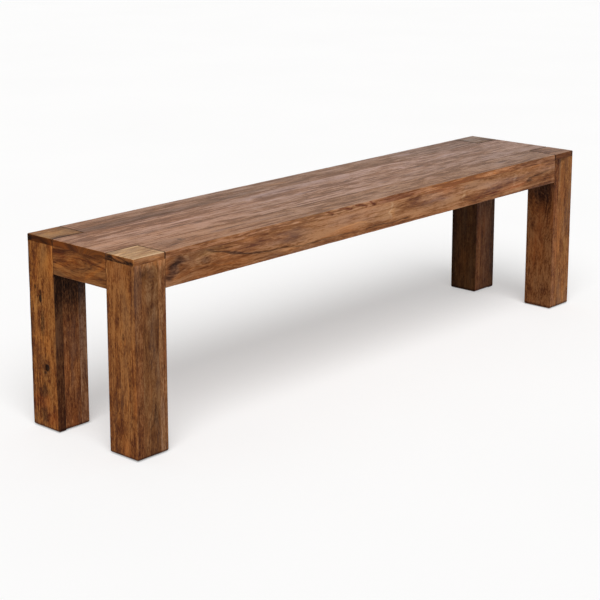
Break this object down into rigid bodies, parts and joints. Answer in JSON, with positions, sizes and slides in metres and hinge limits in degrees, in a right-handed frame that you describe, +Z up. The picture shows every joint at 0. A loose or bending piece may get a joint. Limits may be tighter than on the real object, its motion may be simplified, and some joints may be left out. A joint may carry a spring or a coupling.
{
  "type": "dining bench",
  "caption": "Backless solid rosewood dining bench: a plank seat flush with square corner legs and aprons.",
  "frame": {"origin": "on the floor, under the middle of the bench", "axes": "+Z up, X along the bench, front towards -Y"},
  "size_m": [1.67, 0.352, 0.45],
  "materials": {
    "seat_wood": "satin lacquer over pinkish brown rosewood",
    "cap_wood": "satin lacquer, end grain dark",
    "leg_wood": "satin lacquer over warm brown rosewood",
    "apron_wood": "satin lacquer over warm brown rosewood",
    "inner_wood": "planed, unfinished",
    "dowel_wood": "plain beech",
    "screw_steel": "zinc plated",
    "glide_plastic": "moulded"
  },
  "bodies": {
    "root": {"apron_back": "apron_wood", "apron_dowels": "dowel_wood", "apron_front": "apron_wood", "apron_left": "apron_wood", "apron_right": "apron_wood", "batten_dowels": "dowel_wood", "batten_screws": "screw_steel", "corner_block_back_left_long": "inner_wood", "corner_block_back_left_short": "inner_wood", "corner_block_back_right_long": "inner_wood", "corner_block_back_right_short": "inner_wood", "corner_block_front_left_long": "inner_wood", "corner_block_front_left_short": "inner_wood", "corner_block_front_right_long": "inner_wood", "corner_block_front_right_short": "inner_wood", "corner_block_screws": "screw_steel", "foot_glides": "glide_plastic", "leg_back_left_board_back": "leg_wood", "leg_back_left_board_front": "leg_wood", "leg_back_left_board_left": "leg_wood", "leg_back_left_board_right": "leg_wood", "leg_back_left_foot_block": "inner_wood", "leg_back_left_head_block": "inner_wood", "leg_back_right_board_back": "leg_wood", "leg_back_right_board_front": "leg_wood", "leg_back_right_board_left": "leg_wood", "leg_back_right_board_right": "leg_wood", "leg_back_right_foot_block": "inner_wood", "leg_back_right_head_block": "inner_wood", "leg_cap_back_left": "cap_wood", "leg_cap_back_right": "cap_wood", "leg_cap_front_left": "cap_wood", "leg_cap_front_right": "cap_wood", "leg_front_left_board_back": "leg_wood", "leg_front_left_board_front": "leg_wood", "leg_front_left_board_left": "leg_wood", "leg_front_left_board_right": "leg_wood", "leg_front_left_foot_block": "inner_wood", "leg_front_left_head_block": "inner_wood", "leg_front_right_board_back": "leg_wood", "leg_front_right_board_front": "leg_wood", "leg_front_right_board_left": "leg_wood", "leg_front_right_board_right": "leg_wood", "leg_front_right_foot_block": "inner_wood", "leg_front_right_head_block": "inner_wood", "seat_batten_left": "inner_wood", "seat_batten_middle": "inner_wood", "seat_batten_right": "inner_wood", "seat_block_back_left": "inner_wood", "seat_block_back_right": "inner_wood", "seat_block_front_left": "inner_wood", "seat_block_front_right": "inner_wood", "seat_block_screws": "screw_steel", "seat_board_back": "seat_wood", "seat_board_front": "seat_wood", "seat_board_middle_back": "seat_wood", "seat_board_middle_front": "seat_wood"}
  },
  "joints": []
}
